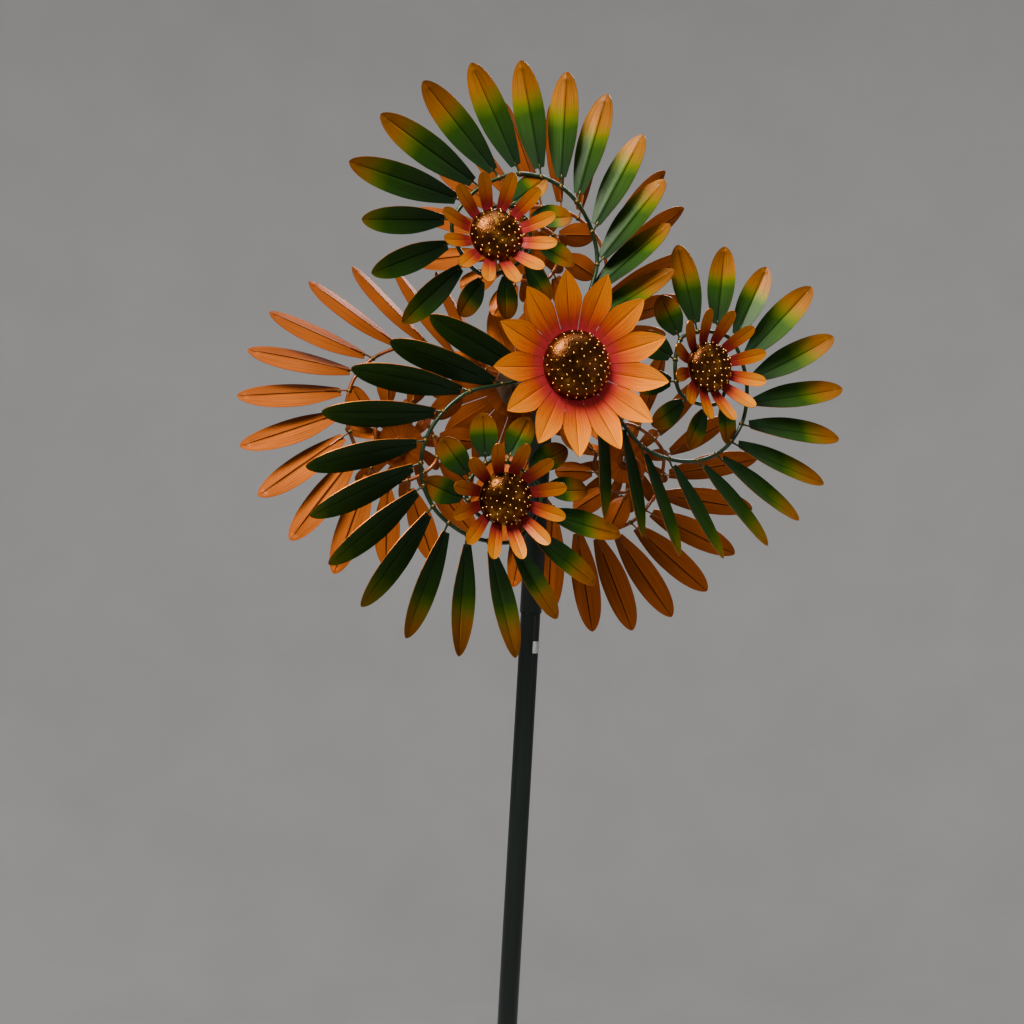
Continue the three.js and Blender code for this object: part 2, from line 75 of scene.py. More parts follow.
# Stem arm: the wire's bends are (degrees turned about the small flower, distance from it)
REACH = 139  # from the axle to the small flower
REACH_ANGLE = 127
ARM_LEAN = 3
ARM_PLANE = 78  # the wire plane's distance from the pole, on the axle
FOOT = {"reach": 17.5, "bearing": 69.5, "radius": 6}
STEM_BENDS = [
    (24, 107), (48, 102), (68, 95), (86, 88), (104, 78.5), (126, 64.5), (150, 51),
    (180, 42), (230, 39.5), (310, 37.5), (400, 37), (465, 36), (515, 26), (555, 14),
]
WELD_BEND = (605, 7.5)
WIRE = 1.9
TAB = {"radius": 9, "thickness": 1.6, "rise": 7}
FOOT_PAD_UNDER = 4  # the foot pad's underside below the wire plane

# Leaves, numbered from the foot: eleven long ones, three medium ones and six short ones
LAST_MEDIUM = 14
LEAVES = [
    *[{"length": 102, "width": 29.5, "stalk": 8.5, "crease": 3}] * 11,
    *[{"length": 76, "width": 26, "stalk": 8.5, "crease": 2.6}] * 3,
    *[{"length": 40, "width": 25.5, "stalk": 6, "crease": 2.4}] * 6,
]
LEAF_SHEET = 0.55
FIRST_LEAF_AT = 21
WIDE_SPACING = 31.3
WIDE_SPACINGS = 4
CLOSE_SPACING = 20.7
FAN = {"second": 46.3, "step": 9, "quickening": 0.52}  # bearings, from the second leaf on
CURL_FAN = {"first": 243, "step": 32}  # bearings of the short leaves
TWIST = {"root": 44, "per_leaf": 1.2}
CREASE_POWER = 1.2
GROOVE = {"depth": 0.6, "half_width": 0.7}
TIP_BOSS = {"height": 0.6, "at": 0.93, "length": 2.2, "half_width": 2.4}
STALK = {"radius": 1.05, "thinner": 0.5, "under": 1.15, "overlap": 0.16}

# How far up the colour range each long and medium leaf's tip comes: partly sprayed by hand, so no two arms
# match,
# and partly painted shade, a shorter reach and less orange on leaves turned from the light
SPRAY_AND_SHADE = {
    "a": [1.1, 0.86, 0.9, 0.95, 1.05, 1.05, 1.0, 0.95, 1.0, 0.92, 0.86, 0.68, 0.58, 0.7],
    "b": [0.68, 0.68, 0.7, 0.72, 0.76, 0.84, 0.95, 0.92, 0.92, 0.92, 1.05, 1.1, 1.1, 1.1],
    "c": [0.5, 0.5, 0.5, 0.52, 0.52, 0.56, 0.64, 0.76, 0.88, 0.98, 1.02, 1.04, 1.06, 1.08],
}
SHORT_SPRAY = 1.06

# Flowers: hole, rim and tip are radii, a petal's sheet starts at hold, and half is a petal's half width
# at the rim and at its widest
SMALL_FLOWER = {
    "petals": 12, "hole": 2.4, "rim": 25, "tip": 53.7, "cup": 22, "turn": 20, "lean": 10,
    "half": (4.8, 6.6), "widest": 0.6, "dome": 24.3, "height": 13, "hold": 18,
}
LARGE_FLOWER = {
    "petals": 13, "hole": 8.8, "rim": 33.5, "tip": 85.5, "cup": 19, "turn": 23,
    "half": (7.95, 13.95), "widest": 0.47, "dome": 32.5, "height": 18, "hold": 25,
}
PETAL_SHEET = 0.8
PETAL_CURVE = 1.15
PETAL_GROOVE = {"depth": 0.3, "half_width": 0.45}
STUDS = {"apart": 7.4, "first": 0.12, "last": 0.8, "size": (1.0, 1.0, 1.2)}
DOME_SHEET = 0.9
TOUCH = 0.3  # between pieces that touch
FLOWER_NUT = {"corner": 4, "bore": 2.3, "thickness": 3.2}

# Hub, pole, head and stake
AXLE_BORE = 4.3
AXLE_NUT = {"corner": 7.5, "bore": 4.35}
AXLE_HALF = 104
THREAD = {"crest": 3.95, "root": 3.55, "pitch": 1.25}
HUB_NECK = {"wide": 11, "slim": 8.5, "bore": 6.3, "step": 88.7}
DISC_BORE = 11.3
POLE_WALL = 1
NECK_LENGTH = 45
POLE_NECK = 8.5
HEAD_NECK = 9.8
CLIP = {"inner": 9.8, "outer": 10.75, "half_width": 4}
CLIP_BUTTON = {"height": 0.16, "half_width": 1.3, "half_height": 1.6}
TAIL = {"bore": 9.8, "radius": 10.5, "below_axle": 8}
BARREL = {"radius": 12, "half": 26}
AXLE_SCREW = {"crest": 2.35, "root": 2.0, "pitch": 0.8, "corner": 4.55, "socket": 1.4}
PLATE_CORNER = 7
PLATE_CUT = 0.6
SOCKET = {"bore": 9.8, "radius": 12}
PRONGS = [f"prong_{i}" for i in (1, 2, 3, 4)]
KNOB_RIDGES = 30
KNOB_NECK = 12.3


# -------- shells
def polar(radius, bearing):
    angle = radians(bearing)
    return Vector((radius * cos(angle), radius * sin(angle), 0))


def up(height):
    return Vector((0, 0, height))


def ring(radii, height):
    """Points round the z axis, each at its own radius."""
    return [polar(radius, 360 * k / len(radii)) + up(height) for k, radius in enumerate(radii)]


class Shell:
    """Closed surfaces in millimetres, with a paint number and UVs on every face."""

    def __init__(self):
        self.points = []
        self.faces = []
        self.paints = []
        self.uvs = []

    def face(self, corners, paint, uvs):
        self.faces.append(corners)
        self.paints.append(paint)
        self.uvs.extend(uvs)

    def merge(self, other, matrix=Matrix()):
        first = len(self.points)
        self.points.extend(matrix @ p for p in other.points)
        self.faces.extend([first + i for i in face] for face in other.faces)
        self.paints.extend(other.paints)
        self.uvs.extend(other.uvs)

    def loft(self, rings, ends="flat", paint_of=lambda column: 0, uv_of=None):
        """Rings of equally many points, joined one to the next.

        Their ends are "flat" caps, "thin" ones for a ring that is a narrow strip, or are "joined".
        """
        first = len(self.points)
        count = len(rings[0])
        uv_of = uv_of or (lambda row, column: (column / count, row / len(rings)))
        for points in rings:
            self.points.extend(points)
        last = len(rings) - 1
        for row in range(len(rings) if ends == "joined" else last):
            low, high = first + row * count, first + (row + 1) % len(rings) * count
            for column in range(count):
                turn = (column + 1) % count
                corners = [low + column, low + turn, high + turn, high + column]
                spots = [(row, column), (row, column + 1), (row + 1, column + 1), (row + 1, column)]
                self.face(corners, paint_of(column), [uv_of(*spot) for spot in spots])
        strips = [[i, i + 1, count - 2 - i, count - 1 - i] for i in range(count // 2 - 1)]
        loops = {"flat": [range(count)], "thin": strips, "joined": []}[ends]
        for row in (0, last):
            for loop in loops:
                corners = [first + row * count + i for i in loop]
                self.face(corners, paint_of(0), [uv_of(row, i) for i in loop])
        return self

    def sweep(self, path, radius_of, sides):
        """A round rod along a path of points; radius_of gives the radius at a share of its length."""
        heading = (path[1] - path[0]).normalized()
        side = heading.orthogonal().normalized()
        rings = []
        travelled = [0.0]
        for before, after in zip(path, path[1:]):
            travelled.append(travelled[-1] + (after - before).length)
        for i, point in enumerate(path):
            ahead = path[min(i + 1, len(path) - 1)] - path[max(i - 1, 0)]
            turn = heading.rotation_difference(ahead.normalized())
            heading = ahead.normalized()
            side = (turn @ side).normalized()
            over = heading.cross(side)
            radius = radius_of(travelled[i] / travelled[-1])
            angles = [2 * pi * k / sides for k in range(sides)]
            rings.append([point + radius * (cos(a) * side + sin(a) * over) for a in angles])
        self.loft(rings, uv_of=lambda row, column: (column / sides, travelled[row] / 40))

    def turned(self, profile, sides, paint=0, closed=False):
        """A profile of (radius, height) turned about z, from axis to axis or closed on itself.

        paint is one number, or one for each stretch of the profile.
        """
        rows = []
        for radius, height in profile:
            if radius < 1e-6:
                rows.append([len(self.points)] * sides)
                self.points.append(up(height))
                continue
            rows.append([len(self.points) + k for k in range(sides)])
            self.points.extend(ring([radius] * sides, height))
        pairs = list(zip(rows, rows[1:])) + ([(rows[-1], rows[0])] if closed else [])
        paints = [paint] * len(pairs) if isinstance(paint, int) else paint
        for row, (low, high) in enumerate(pairs):
            for k in range(sides):
                n = (k + 1) % sides
                corners = [low[k], low[n], high[n], high[k]]
                spots = [(k, row), (k + 1, row), (k + 1, row + 1), (k, row + 1)]
                kept = [i for i in range(4) if corners[i] != corners[i - 1]]
                uvs = [(spots[i][0] / sides, spots[i][1] / len(pairs)) for i in kept]
                if len(kept) > 2:
                    self.face([corners[i] for i in kept], paints[row], uvs)
        return self

    def blob(self, centre, radii, paint, sides=12, rings=7, axes=None):
        """A smooth lump, such as a drop of braze or a stud."""
        lump = Shell()
        arc = [pi * i / rings for i in range(rings + 1)]
        profile = [(sin(a) if 0 < i < rings else 0, -cos(a)) for i, a in enumerate(arc)]
        lump.turned(profile, sides, paint)
        size = Matrix.Diagonal((*radii, 1))
        turn = Matrix(axes).transposed().to_4x4() if axes else Matrix()
        self.merge(lump, Matrix.Translation(centre) @ turn @ size)


def turned_by(angle):
    return Matrix.Rotation(radians(angle), 4, "Z")


def seat(side, turn=0):
    """From a rotor's frame, turned anticlockwise seen from the front, to the part's in millimetres."""
    swap = Matrix(((1, 0, 0, 0), (0, 0, SIDES[side], 0), (0, 1, 0, AXLE_HEIGHT), (0, 0, 0, 1)))
    return swap @ turned_by(turn)


def new_mesh(name, shell, materials, matrix=Matrix()):
    mesh = bpy.data.meshes.new(name)
    mesh.from_pydata([MM * (matrix @ p) for p in shell.points], [], shell.faces)
    for material in materials:
        mesh.materials.append(material)
    mesh.shade_smooth()
    return mesh


def new_object(name, data):
    made = bpy.data.objects.new(name, data)
    bpy.context.scene.collection.objects.link(made)
    return made


def piece(name, shell, materials, body, node, matrix=Matrix(), crisp=35):
    """Turns a shell into a named mesh that rides on a CAD body and stands for a CAD node."""
    mesh = new_mesh(name, shell, materials, matrix)
    mesh.polygons.foreach_set("material_index", shell.paints)
    layer = mesh.uv_layers.new(name="UVMap")
    layer.data.foreach_set("uv", [number for uv in shell.uvs for number in uv])
    work = bmesh.new()
    work.from_mesh(mesh)
    bmesh.ops.recalc_face_normals(work, faces=work.faces)
    work.to_mesh(mesh)
    work.free()
    mesh.set_sharp_from_angle(angle=radians(crisp))
    made = new_object(name, mesh)
    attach(made, body)
    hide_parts(node)


# -------- materials
def set_inputs(node, values):
    for name, value in values.items():
        node.inputs[name].default_value = value


class Paint:
    """A material's node tree, with short ways to add nodes to it."""

    def __init__(self, name, metallic, roughness, coat=0, coat_roughness=0.1):
        self.material = bpy.data.materials.new(name)
        self.material.use_nodes = True
        self.tree = self.material.node_tree
        self.shader = self.tree.nodes["Principled BSDF"]
        set_inputs(self.shader, {"Metallic": metallic, "Roughness": roughness})
        set_inputs(self.shader, {"Coat Weight": coat, "Coat Roughness": coat_roughness})

    def put(self, value, socket):
        if isinstance(value, bpy.types.NodeSocket):
            self.tree.links.new(value, socket)
        else:
            socket.default_value = value

    def node(self, kind):
        return self.tree.nodes.new(f"ShaderNode{kind}")

    def math(self, operation, *values):
        node = self.node("Math")
        node.operation = operation
        for value, socket in zip(values, node.inputs):
            self.put(value, socket)
        return node.outputs[0]

    def uv(self):
        """Across and along a leaf or petal, as sockets."""
        split = self.node("SeparateXYZ")
        self.put(self.node("TexCoord").outputs["UV"], split.inputs[0])
        return split.outputs[0], split.outputs[1]

    def place(self, x=1, y=1, z=1, source="Object"):
        """Coordinates stretched by a factor along each axis."""
        stretch = self.node("Mapping")
        stretch.inputs["Scale"].default_value = (x, y, z)
        self.put(self.node("TexCoord").outputs[source], stretch.inputs["Vector"])
        return stretch.outputs[0]

    def noise(self, vector, scale, detail, roughness=0.5):
        node = self.node("TexNoise")
        self.put(vector, node.inputs["Vector"])
        set_inputs(node, {"Scale": scale, "Detail": detail, "Roughness": roughness})
        return node.outputs["Fac"]

    def ramp(self, factor, stops):
        node = self.node("ValToRGB")
        stop_list = node.color_ramp.elements
        while len(stop_list) < len(stops):
            stop_list.new(0.5)
        for element, (place, colour) in zip(stop_list, stops):
            element.position = place
            element.color = (*colour, 1)
        self.put(factor, node.inputs["Fac"])
        return node.outputs["Color"]

    def scaled(self, value, low, high, from_low, from_high):
        node = self.node("MapRange")
        for number, socket in zip((value, from_low, from_high, low, high), node.inputs):
            self.put(number, socket)
        return node.outputs["Result"]

    def mix(self, factor, first, second, blend="MIX"):
        node = self.node("Mix")
        node.data_type = "RGBA"
        node.blend_type = blend
        self.put(factor, node.inputs["Factor"])
        for value, name in ((first, "A"), (second, "B")):
            socket = next(s for s in node.inputs if s.name == name and s.type == "RGBA")
            self.put(value if isinstance(value, bpy.types.NodeSocket) else (*value, 1), socket)
        return next(s for s in node.outputs if s.type == "RGBA")

    def colour(self, value):
        self.put(value, self.shader.inputs["Base Color"])

    def rough(self, value):
        self.put(value, self.shader.inputs["Roughness"])

    def bump(self, height, strength, distance):
        node = self.node("Bump")
        set_inputs(node, {"Strength": strength, "Distance": distance})
        self.put(height, node.inputs["Height"])
        self.put(node.outputs["Normal"], self.shader.inputs["Normal"])


def midrib(paint, width):
    """1 on the line down the middle of a leaf or petal, 0 away from it: where the groove's shade is painted.
    """
    share = paint.math("FRACT", paint.uv()[0])
    distance = paint.math("ABSOLUTE", paint.math("SUBTRACT", share, 0.5))
    return paint.scaled(distance, 1, 0, width * 0.4, width)


def sheet_finish(name, stops, metallic, line, line_width, roughness):
    """Tinted lacquer over brushed sheet metal, coloured from a leaf's base to its tip, with painted shade in
    the midrib groove and painted glints on specks of dust.
    """
    paint = Paint(name, metallic, 0.4, 0.05, 0.16)
    set_inputs(paint.shader, {"Specular IOR Level": 0.2, "Specular Tint": (0.5, 0.36, 0.06, 1)})
    along = paint.uv()[1]
    cloud = paint.noise(paint.place(), 38, 2)
    streaks = paint.noise(paint.place(34, 1.6, 1, "UV"), 1, 4, 0.6)
    wander = paint.math("MULTIPLY_ADD", cloud, 0.16, -0.08)
    feather = paint.math("MULTIPLY_ADD", streaks, 0.12, -0.06)
    place = paint.math("ADD", paint.math("ADD", along, wander), feather)
    shade = paint.ramp(place, stops)
    dark = paint.mix(paint.scaled(streaks, 0, 0.6, 0.38, 0.78), shade, (0.004, 0.003, 0.001))
    grain = paint.noise(paint.place(), 1100, 2)
    # Small bright specks: dust on the lacquer, with painted glints on it.
    dust_glints = paint.mix(paint.scaled(grain, 0, 0.35, 0.56, 0.8), dark, (1, 0.75, 0.4), "OVERLAY")
    # The midrib line is painted shade in the groove down the middle.
    paint.colour(paint.mix(midrib(paint, line_width), dust_glints, line))
    paint.rough(paint.scaled(streaks, roughness[0], roughness[1], 0.3, 0.7))
    paint.bump(paint.math("ADD", streaks, paint.math("MULTIPLY", grain, 0.3)), 0.4, 0.0003)
    return paint.material


# Painted shade in the midrib grooves: each line colour is darker than the paint beside it.
GROOVE_SHADE_GREEN, GROOVE_SHADE_BROWN, GROOVE_SHADE_RED = (0.003, 0.008, 0.002), (0.004, 0.001, 0.0005), (0.2, 0.03, 0.003)
LEAF_GREEN = [
    (0, (0.01, 0.031, 0.015)), (0.18, (0.011, 0.036, 0.011)), (0.48, (0.018, 0.06, 0.006)),
    (0.57, (0.068, 0.106, 0.004)), (0.65, (0.165, 0.113, 0.004)), (0.76, (0.25, 0.088, 0.005)),
    (1, (0.165, 0.05, 0.005)),
]
COPPER = [(0, (0.24, 0.056, 0.008)), (0.5, (0.38, 0.088, 0.011)), (1, (0.29, 0.066, 0.009))]
ORANGE = [
    (0, (0.42, 0.02, 0.034)), (0.15, (0.49, 0.036, 0.026)), (0.34, (0.7, 0.115, 0.005)),
    (0.6, (0.87, 0.215, 0.002)), (1, (0.94, 0.272, 0.003)),
]
BURNT_ORANGE = [
    (0, (0.24, 0.012, 0.022)), (0.22, (0.28, 0.024, 0.016)), (0.45, (0.44, 0.09, 0.004)),
    (0.7, (0.5, 0.15, 0.003)), (1, (0.5, 0.165, 0.003)),
]


def mottled(
    name, metallic, spots, colours, polish=None, coat=(0, 0.1), bump=None, grain=None, drawn=(), rough=0.45
):
    """Wanders between two colours and two roughnesses, in spots of a (scale, detail).

    bump is a (strength, distance) for the same spots, or for the (scale, detail) of a finer grain, which
    is stretched by drawn. rough is the roughness where polish isn't given.
    """
    paint = Paint(name, metallic, rough, *coat)
    mottle = paint.noise(paint.place(), *spots)
    paint.colour(paint.ramp(mottle, colours))
    if polish:
        paint.rough(paint.scaled(mottle, *polish, 0.3, 0.7))
    if bump:
        paint.bump(paint.noise(paint.place(*drawn), *grain) if grain else mottle, *bump)
    return paint.material


def stem_finish(name, dark, light):
    colours = [(0.32, dark), (0.68, light)]
    return mottled(name, 0.6, (55, 3), colours, (0.3, 0.5), (0.3, 0.1), (0.3, 0.0002), (700, 2))


def seed_finish():
    """Dark, hammered copper with a rubbed patina."""
    paint = Paint("seed_head", 0.95, 0.3)
    patina = paint.noise(paint.place(), 90, 4, 0.6)
    pits = paint.noise(paint.place(), 600, 2)
    browns = [(0.3, (0.05, 0.014, 0.003)), (0.56, (0.1, 0.03, 0.005)), (0.82, (0.46, 0.21, 0.03))]
    paint.colour(paint.ramp(patina, browns))
    paint.rough(paint.scaled(patina, 0.22, 0.36, 0.3, 0.7))
    paint.bump(paint.math("ADD", patina, paint.math("MULTIPLY", pits, 0.8)), 0.5, 0.0007)
    return paint.material


def powder_finish():
    """Dark green powder coat, a little scuffed along the tubes."""
    paint = Paint("powder_coat", 0, 0.42, 0.08, 0.3)
    peel = paint.noise(paint.place(), 480, 2)
    scuffs = paint.noise(paint.place(60, 60, 4), 1, 4, 0.65)
    set_inputs(paint.shader, {"Specular IOR Level": 0.22})
    paint.colour(paint.ramp(scuffs, [(0.35, (0.003, 0.006, 0.005)), (0.75, (0.009, 0.015, 0.012))]))
    paint.rough(paint.scaled(scuffs, 0.34, 0.55, 0.3, 0.75))
    paint.bump(peel, 0.3, 0.0003)
    return paint.material


finish = {material.name: material for material in (
    sheet_finish("leaf_face", LEAF_GREEN, 0.38, GROOVE_SHADE_GREEN, 0.014, (0.46, 0.64)),
    sheet_finish("leaf_back", COPPER, 0.5, GROOVE_SHADE_BROWN, 0.03, (0.48, 0.64)),
    sheet_finish("petal_face", ORANGE, 0.45, GROOVE_SHADE_RED, 0.02, (0.48, 0.66)),
    sheet_finish("small_petal_face", BURNT_ORANGE, 0.45, GROOVE_SHADE_RED, 0.02, (0.48, 0.66)),
    # Its line colour is painted shade in the midrib groove.
    sheet_finish("petal_back", COPPER, 0.65, (0.2, 0.04, 0.003), 0.02, (0.34, 0.56)),
    mottled("cut_edge", 0.9, (160, 2), [(0.3, (0.24, 0.055, 0.008)), (0.7, (0.44, 0.14, 0.02))], (0.3, 0.5)),
    stem_finish("stem_green", (0.004, 0.015, 0.003), (0.016, 0.043, 0.005)),
    stem_finish("stem_copper", (0.08, 0.02, 0.004), (0.3, 0.065, 0.006)),
    mottled(
        "braze", 0.9, (420, 3), [(0.35, (0.035, 0.03, 0.008)), (0.7, (0.2, 0.12, 0.03))], (0.3, 0.6),
        bump=(0.5, 0.0004),
    ),
    seed_finish(),
    mottled("seed_stud", 1, (500, 2), [(0.3, (0.55, 0.22, 0.03)), (0.7, (0.95, 0.55, 0.14))], (0.16, 0.32)),
    powder_finish(),
    mottled(
        "zinc_plate", 1, (260, 3), [(0.3, (0.42, 0.43, 0.44)), (0.7, (0.7, 0.71, 0.7))], (0.24, 0.42),
        bump=(0.2, 0.0001), grain=(1, 2), drawn=(400, 400, 30),
    ),
    mottled(
        "sintered_bronze", 1, (1200, 2), [(0.35, (0.22, 0.13, 0.05)), (0.6, (0.5, 0.33, 0.14))],
        bump=(0.4, 0.0002),
    ),
    mottled(
        "hub_paint", 0.5, (120, 4), [(0.3, (0.035, 0.018, 0.01)), (0.7, (0.1, 0.05, 0.024))], (0.35, 0.6),
        (0.2, 0.2), (0.3, 0.0002), (500, 2),
    ),
)}
LEAF_PAINTS = [finish["leaf_face"], finish["leaf_back"], finish["cut_edge"]]
LARGE_PETAL_PAINTS = [finish["petal_face"], finish["petal_back"], finish["cut_edge"]]
SMALL_PETAL_PAINTS = [finish["small_petal_face"], finish["petal_back"], finish["cut_edge"]]
OUTSIDE, INSIDE, EDGE = 0, 1, 2


def hardware(node, making, shell, metal, body="stand", matrix=Matrix(), crisp=35):
    """A piece named after its CAD node and its making, in one metal and perhaps with brazed welds."""
    materials = [finish[metal], finish["braze"]][:max(shell.paints) + 1]
    piece(f"{node}_{making}", shell, materials, body, node, matrix, crisp)


# -------- the arm's frame and wire
flower_centre = polar(REACH, REACH_ANGLE)
outward = polar(1, REACH_ANGLE)
lean_slope = tan(radians(ARM_LEAN))
arm_normal = Vector((lean_slope * outward.x, lean_slope * outward.y, 1)).normalized()


def on_arm(point, rise=0.0):
    return Vector((point.x, point.y, ARM_PLANE - lean_slope * point.dot(outward) + rise))


def flower_frame():
    """From a small flower's own frame, its face along z, to the rotor's."""
    axis = Vector((-outward.y, outward.x, 0))
    lean = Matrix.Rotation(radians(SMALL_FLOWER["lean"]), 4, axis)
    return Matrix.Translation(on_arm(flower_centre, TAB["rise"])) @ lean


def through(points, steps=14):
    """A smooth path through points: a centripetal Catmull-Rom curve."""
    ends = [2 * points[0] - points[1], *points, 2 * points[-1] - points[-2]]
    path = []
    for p0, p1, p2, p3 in zip(ends, ends[1:], ends[2:], ends[3:]):
        d0, d1, d2 = (sqrt((b - a).length) for a, b in ((p0, p1), (p1, p2), (p2, p3)))
        leaving = d1 * ((p1 - p0) / d0 - (p2 - p0) / (d0 + d1) + (p2 - p1) / d1)
        arriving = d1 * ((p2 - p1) / d1 - (p3 - p1) / (d1 + d2) + (p3 - p2) / d2)
        for step in range(steps):
            t = step / steps
            square = (2 * p1 - 2 * p2 + leaving + arriving) * t + (3 * p2 - 3 * p1 - 2 * leaving - arriving)
            path.append(p1 + t * leaving + t * t * square)
    return [*path, points[-1]]


def bend(turn, distance):
    """A bend's place in the small flower's plane."""
    return polar(distance, REACH_ANGLE + 180 + turn)


def stem_path():
    foot = on_arm(polar(FOOT["reach"], FOOT["bearing"]))
    bends = [on_arm(bend(*numbers) + flower_centre) for numbers in STEM_BENDS]
    weld = bend(*WELD_BEND)
    end = flower_frame() @ Vector((weld.x, weld.y, -TAB["thickness"] - WIRE / 2))
    return through([foot, *bends, end])


def point_at(path, distance):
    for before, after in zip(path, path[1:]):
        step = (after - before).length
        if distance <= step:
            return before.lerp(after, distance / step)
        distance -= step
    return path[-1]


# -------- leaves
def leaf_bearing(number):
    if number > LAST_MEDIUM:
        return CURL_FAN["first"] + CURL_FAN["step"] * (number - LAST_MEDIUM - 1)
    steps = number - 2
    return FAN["second"] + FAN["step"] * steps + FAN["quickening"] * steps * steps


def leaf_place(number):
    wide = min(number - 1, WIDE_SPACINGS)
    return FIRST_LEAF_AT + wide * WIDE_SPACING + (number - 1 - wide) * CLOSE_SPACING


def leaf_outline(share):
    """Share of the full width at a share of the length, from the narrow base to the rounded tip."""
    base, widest_at, tip_power, tip_fullness = 0.34, 0.5, 2.4, 0.6
    if share < widest_at:
        return base + (1 - base) * sin(pi / 2 * share / widest_at)
    beyond = (share - widest_at) / (1 - widest_at)
    return max(0.0, 1 - beyond ** tip_power) ** tip_fullness


def leaf_axes(number):
    """Along, across and square to a leaf, as unit vectors in the rotor's frame."""
    flat = polar(1, leaf_bearing(number))
    along = Vector((flat.x, flat.y, -lean_slope * flat.dot(outward))).normalized()
    twist = radians(TWIST["root"] - TWIST["per_leaf"] * number)
    sideways = arm_normal.cross(along)
    normal = cos(twist) * arm_normal + sin(twist) * sideways
    return along, normal.cross(along), normal


def mirrored(shares):
    """The same shares on both sides of 0."""
    return [*(-share for share in reversed(shares)), 0, *shares]


ACROSS = mirrored([0.045, 0.09, 0.16, 0.3, 0.52, 0.75, 0.92, 1])
LEAF_ROWS = [
    0, 0.015, 0.04, 0.08, 0.13, 0.19, 0.26, 0.33, 0.4, 0.47, 0.54, 0.61, 0.68, 0.75, 0.81, 0.86, 0.89, 0.905,
    0.92, 0.935, 0.95, 0.965, 0.98, 0.99, 0.997, 1,
]


def blade(shell, rows, across, surface, sheet, colour_at, number):
    """A thin sheet: surface(row, share) gives a point and the direction of its outer face."""
    count = len(across)
    shares = [*across, *reversed(across)]
    rings = []
    for row in rows:
        spots = [surface(row, share) for share in across]
        outer = [point + sheet / 2 * away for point, away in spots]
        inner = [point - sheet / 2 * away for point, away in reversed(spots)]
        rings.append([*outer, *inner])

    def paint_of(column):
        if column in (count - 1, 2 * count - 1):
            return EDGE
        return OUTSIDE if column < count else INSIDE

    def uv_of(row, column):
        return 2 * number + 0.5 + 0.48 * shares[column % (2 * count)], colour_at(rows[row])

    shell.loft(rings, "thin", paint_of, uv_of)


def leaf(shell, number, root, chance, reach):
    """A pressed leaf, folded a little along a grooved midrib."""
    kind = LEAVES[number - 1]
    along, across, normal = leaf_axes(number)
    bow = chance.uniform(-1.6, 0.8)
    ripple = chance.uniform(0.15, 0.5)
    phase = chance.uniform(0, 6)
    shift = chance.uniform(-0.04, 0.04)

    def surface(share, side):
        wide = leaf_outline(share)
        half = max(0.35, wide * kind["width"] / 2)
        lift = kind["crease"] * wide * abs(side) ** CREASE_POWER
        groove = exp(-((side * half / GROOVE["half_width"]) ** 2))
        lift -= GROOVE["depth"] * groove * min(1, 4 * (1 - share))
        lift += bow * sin(pi * share) + ripple * side * sin(7 * share + phase) * wide
        beyond = (share - TIP_BOSS["at"]) * kind["length"] / TIP_BOSS["length"]
        lift += TIP_BOSS["height"] * exp(-(beyond ** 2) - (side * half / TIP_BOSS["half_width"]) ** 2)
        point = root + (kind["stalk"] + share * kind["length"]) * along + side * half * across + lift * normal
        steep = kind["crease"] * wide * CREASE_POWER * abs(side) ** (CREASE_POWER - 1) / half
        tilt = copysign(steep, side)
        return point, (normal - tilt * across).normalized()

    blade(shell, LEAF_ROWS, ACROSS, surface, LEAF_SHEET, lambda share: reach * share + shift, number)


def stalk(shell, number, root):
    """The leaf's wire stalk, brazed to the stem at one end and under the leaf's midrib at the other."""
    kind = LEAVES[number - 1]
    along, across, normal = leaf_axes(number)
    under = -STALK["under"] * normal
    end = kind["stalk"] + STALK["overlap"] * kind["length"]
    path = [
        root, root + 0.5 * kind["stalk"] * along + 0.6 * under, root + kind["stalk"] * along + under,
        root + end * along + under,
    ]
    shell.sweep(through(path, 5), lambda share: STALK["radius"] - STALK["thinner"] * share, 10)
    axes = (along, across, normal)
    shell.blob(root, (2.9, 2.6, 2.5), 1, axes=axes)
    shell.blob(root + (kind["stalk"] + 1.5) * along + 0.8 * under, (3.0, 1.7, 0.9), 1, axes=axes)


def weld_ring(shell, radius, height, size, lumps, paint, seed):
    """A bead of weld round a joint, with the ripples of the pool."""
    steps = lumps * 6
    chance = random.Random(seed)
    swell = [chance.uniform(0.85, 1.15) for _ in range(lumps)]
    angles = [2 * pi * k / 8 for k in range(8)]
    rings = []
    for step in range(steps):
        turn = step / steps
        thick = size * (0.86 + 0.14 * cos(2 * pi * lumps * turn)) * swell[step * lumps // steps]
        away = polar(1, 360 * turn)
        bead = [cos(a) * away + sin(a) * up(1) for a in angles]
        rings.append([radius * away + up(height) + thick * spot for spot in bead])
    shell.loft(rings, "joined", lambda column: paint)


